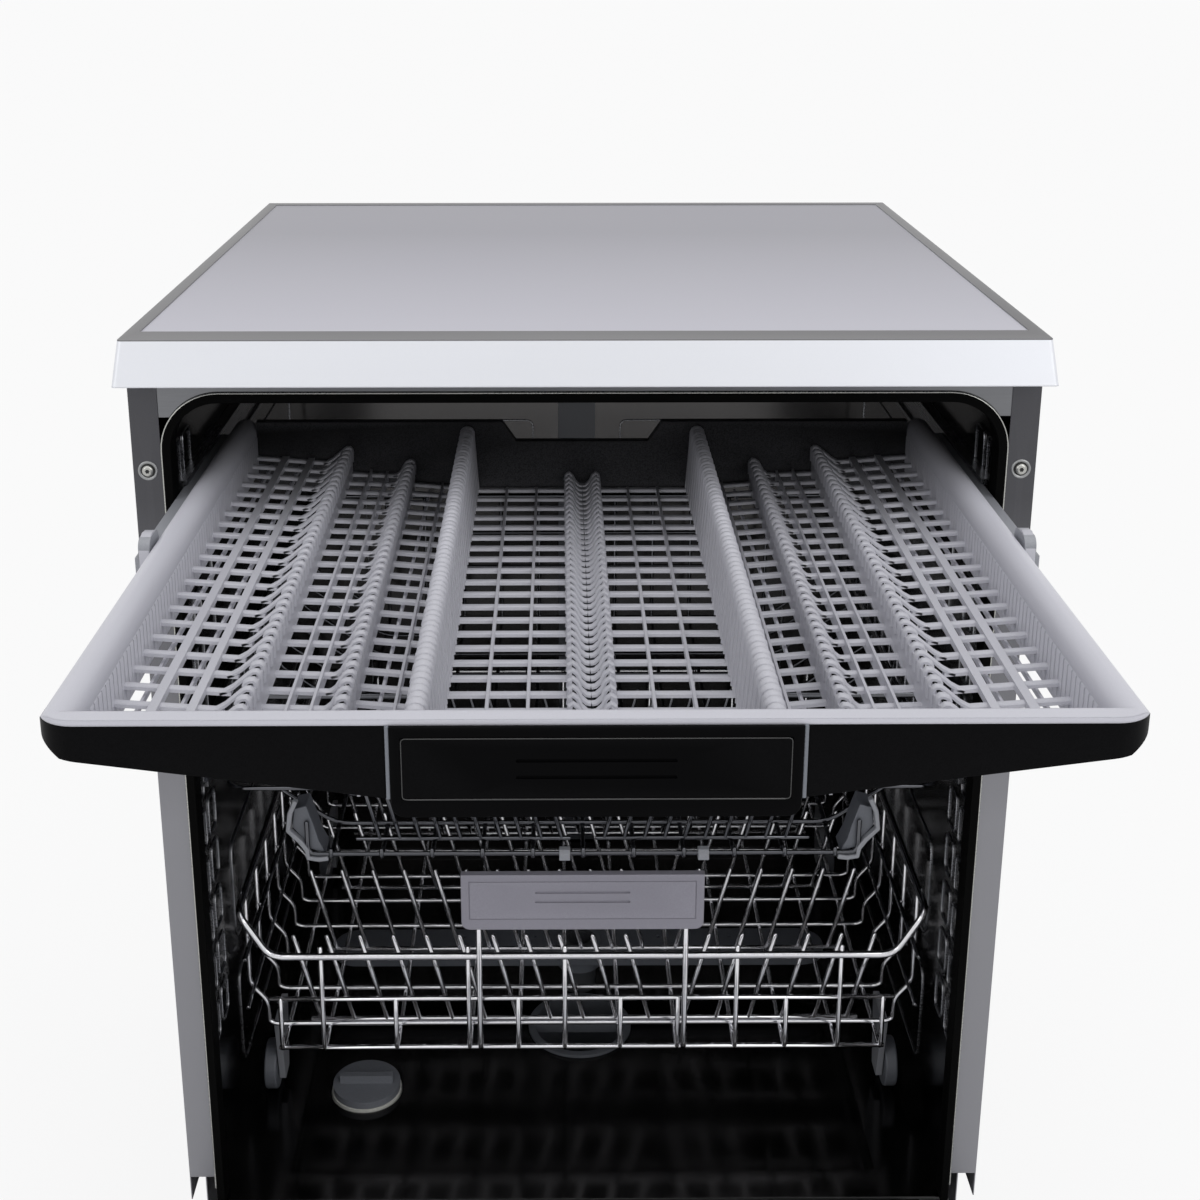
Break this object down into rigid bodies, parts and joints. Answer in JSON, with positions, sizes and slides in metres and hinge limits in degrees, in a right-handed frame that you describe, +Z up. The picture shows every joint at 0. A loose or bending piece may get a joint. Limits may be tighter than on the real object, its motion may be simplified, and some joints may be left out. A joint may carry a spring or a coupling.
{
  "type": "dishwasher",
  "caption": "Free-standing dishwasher with a drop-down door, a shallow pull-out cutlery tray under its worktop and wire baskets on runners in a steel tub.",
  "frame": {"origin": "middle of the floor under the whole part, at rest with its door open", "axes": "+Z up, +X to the right as seen from the front, +Y from the open door to the rear panel"},
  "size_m": [0.598, 1.231, 0.85],
  "materials": {
    "cabinet_paint": "satin",
    "rear_steel": "zinc plated",
    "base_plastic": "moulded",
    "foot_plastic": "moulded",
    "worktop_frame_plastic": "satin silver",
    "worktop_panel_laminate": "satin",
    "crossbar_steel": "satin",
    "tub_steel": "polished",
    "seal_rubber": "matt",
    "screw_zinc": "plated",
    "hinge_steel": "zinc plated",
    "spring_steel": "drawn",
    "rail_steel": "rolled",
    "sump_plastic": "moulded",
    "pump_plastic": "moulded",
    "softener_plastic": "moulded",
    "valve_plastic": "moulded",
    "duct_plastic": "moulded",
    "arm_plastic": "moulded",
    "filter_plastic": "moulded",
    "cap_plastic": "moulded",
    "door_paint": "satin silver",
    "liner_steel": "brushed",
    "fascia_plastic": "satin silver",
    "button_plastic": "metallic",
    "dispenser_plastic": "moulded",
    "tray_plastic": "satin",
    "tray_black": "satin black",
    "basket_wire": "coated wire",
    "handle_plastic": "satin",
    "rack_wire": "coated wire",
    "runner_plastic": "moulded",
    "wheel_plastic": "moulded"
  },
  "bodies": {
    "cabinet": {"side_panel_left": "cabinet_paint", "side_panel_right": "cabinet_paint", "rear_panel": "rear_steel", "base_tray": "base_plastic", "plinth": "base_plastic", "feet": "foot_plastic", "worktop_frame": "worktop_frame_plastic", "worktop_panel": "worktop_panel_laminate", "front_crossbar": "crossbar_steel", "tub_wrapper": "tub_steel", "tub_rear_wall": "tub_steel", "tub_floor": "tub_steel", "door_gasket": "seal_rubber", "flange_screws": "screw_zinc", "hinge_brackets": "hinge_steel", "door_springs": "spring_steel", "tray_rails": "rail_steel", "basket_rails": "rail_steel", "sump": "sump_plastic", "circulation_pump": "pump_plastic", "drain_pump": "pump_plastic", "softener": "softener_plastic", "inlet_valve": "valve_plastic", "feed_duct": "duct_plastic"},
    "filter": {"filter_insert": "filter_plastic"},
    "salt_filler_cap": {"salt_cap": "cap_plastic"},
    "upper_arm": {"upper_spray_arm": "arm_plastic"},
    "lower_arm": {"lower_spray_arm": "arm_plastic"},
    "door": {"door_outer_panel": "door_paint", "door_inner_liner": "liner_steel", "control_fascia": "fascia_plastic", "hinge_arms": "hinge_steel", "dispenser_body": "dispenser_plastic"},
    "detergent_lid": {"dispenser_lid": "cap_plastic"},
    "rinse_cap": {"rinse_aid_cap": "cap_plastic"},
    "power_key": {"power_button": "button_plastic"},
    "programme_key": {"programme_button": "button_plastic"},
    "start_key": {"start_button": "button_plastic"},
    "latch": {"door_latch": "screw_zinc"},
    "cutlery_tray": {"tray_frame": "tray_plastic", "tray_fascia": "tray_black", "tray_grip": "tray_black", "tray_floor_left": "tray_plastic", "tray_floor_centre": "tray_plastic", "tray_floor_right": "tray_plastic", "tray_slides": "runner_plastic"},
    "upper_basket": {"upper_basket_wires": "basket_wire", "basket_runners": "runner_plastic", "middle_arm_duct": "duct_plastic"},
    "folding_cup_rack": {"cup_rack": "rack_wire"},
    "middle_arm": {"middle_spray_arm": "arm_plastic"},
    "lower_basket": {"lower_basket_wires": "basket_wire", "lower_basket_handle": "handle_plastic", "wheel_carriers": "runner_plastic"},
    "front_tines": {"tine_row_front": "basket_wire"},
    "rear_tines": {"tine_row_rear": "basket_wire"},
    "wheel_front_left_body": {"wheel_front_left": "wheel_plastic"},
    "wheel_front_right_body": {"wheel_front_right": "wheel_plastic"},
    "wheel_rear_left_body": {"wheel_rear_left": "wheel_plastic"},
    "wheel_rear_right_body": {"wheel_rear_right": "wheel_plastic"}
  },
  "joints": [
    {"name": "door_hinge", "type": "hinge", "parent": "cabinet", "child": "door", "pos_m": [0, 0.0365, 0.16], "axis": [-1, 0, 0], "range_deg": [0, 90], "deforming": ["door_springs"]},
    {"name": "tray_slide", "type": "slide", "parent": "cabinet", "child": "cutlery_tray", "axis": [0, 1, 0], "range_m": [0, 0.37]},
    {"name": "upper_basket_slide", "type": "slide", "parent": "cabinet", "child": "upper_basket", "axis": [0, 1, 0], "range_m": [-0.45, 0]},
    {"name": "lower_basket_slide", "type": "slide", "parent": "cabinet", "child": "lower_basket", "axis": [0, 1, 0], "range_m": [-0.45, 0]},
    {"name": "upper_arm_spin", "type": "hinge", "parent": "cabinet", "child": "upper_arm", "pos_m": [0, 0.3425, 0.778], "axis": [0, 0, 1], "continuous": true},
    {"name": "lower_arm_spin", "type": "hinge", "parent": "cabinet", "child": "lower_arm", "pos_m": [0, 0.3425, 0.2], "axis": [0, 0, 1], "continuous": true},
    {"name": "middle_arm_spin", "type": "hinge", "parent": "upper_basket", "child": "middle_arm", "pos_m": [0, 0.3425, 0.425], "axis": [0, 0, 1], "continuous": true},
    {"name": "filter_twist", "type": "hinge", "parent": "cabinet", "child": "filter", "pos_m": [0, 0.2775, 0.166], "axis": [0, 0, 1], "range_deg": [0, 45]},
    {"name": "salt_cap_turn", "type": "hinge", "parent": "cabinet", "child": "salt_filler_cap", "pos_m": [-0.18, 0.1925, 0.166], "axis": [0, 0, 1], "range_deg": [0, 360]},
    {"name": "detergent_lid_slide", "type": "slide", "parent": "door", "child": "detergent_lid", "axis": [1, 0, 0], "range_m": [0, 0.07]},
    {"name": "rinse_cap_turn", "type": "hinge", "parent": "door", "child": "rinse_cap", "pos_m": [0.084, -0.2935, 0.166], "axis": [0, 0, 1], "range_deg": [0, 90]},
    {"name": "power_button_press", "type": "slide", "parent": "door", "child": "power_key", "axis": [0, 0, 1], "range_m": [0, 0.0015], "stiffness_N_per_m": 300},
    {"name": "programme_button_press", "type": "slide", "parent": "door", "child": "programme_key", "axis": [0, 0, 1], "range_m": [0, 0.0015], "stiffness_N_per_m": 300},
    {"name": "start_button_press", "type": "slide", "parent": "door", "child": "start_key", "axis": [0, 0, 1], "range_m": [0, 0.0015], "stiffness_N_per_m": 300},
    {"name": "latch_retract", "type": "slide", "parent": "door", "child": "latch", "axis": [0, 0, -1], "range_m": [0, 0.006], "stiffness_N_per_m": 300, "springref_m": -0.003},
    {"name": "cup_rack_fold", "type": "hinge", "parent": "upper_basket", "child": "folding_cup_rack", "pos_m": [0.2547, 0.1325, 0.52], "axis": [0, -1, 0], "range_deg": [0, 90]},
    {"name": "front_tines_fold", "type": "hinge", "parent": "lower_basket", "child": "front_tines", "pos_m": [0, 0.1595, 0.2593], "axis": [-1, 0, 0], "range_deg": [0, 85]},
    {"name": "rear_tines_fold", "type": "hinge", "parent": "lower_basket", "child": "rear_tines", "pos_m": [0, 0.2575, 0.2593], "axis": [-1, 0, 0], "range_deg": [0, 85]},
    {"name": "wheel_front_left_spin", "type": "hinge", "parent": "lower_basket", "child": "wheel_front_left_body", "pos_m": [-0.255, 0.1825, 0.2003], "axis": [1, 0, 0], "continuous": true},
    {"name": "wheel_front_right_spin", "type": "hinge", "parent": "lower_basket", "child": "wheel_front_right_body", "pos_m": [0.255, 0.1825, 0.2003], "axis": [1, 0, 0], "continuous": true},
    {"name": "wheel_rear_left_spin", "type": "hinge", "parent": "lower_basket", "child": "wheel_rear_left_body", "pos_m": [-0.255, 0.5125, 0.2003], "axis": [1, 0, 0], "continuous": true},
    {"name": "wheel_rear_right_spin", "type": "hinge", "parent": "lower_basket", "child": "wheel_rear_right_body", "pos_m": [0.255, 0.5125, 0.2003], "axis": [1, 0, 0], "continuous": true}
  ],
  "couplings": [
    {"joint": "tray_slide", "follows": "door_hinge", "m_per_rad": 0.23555}
  ]
}
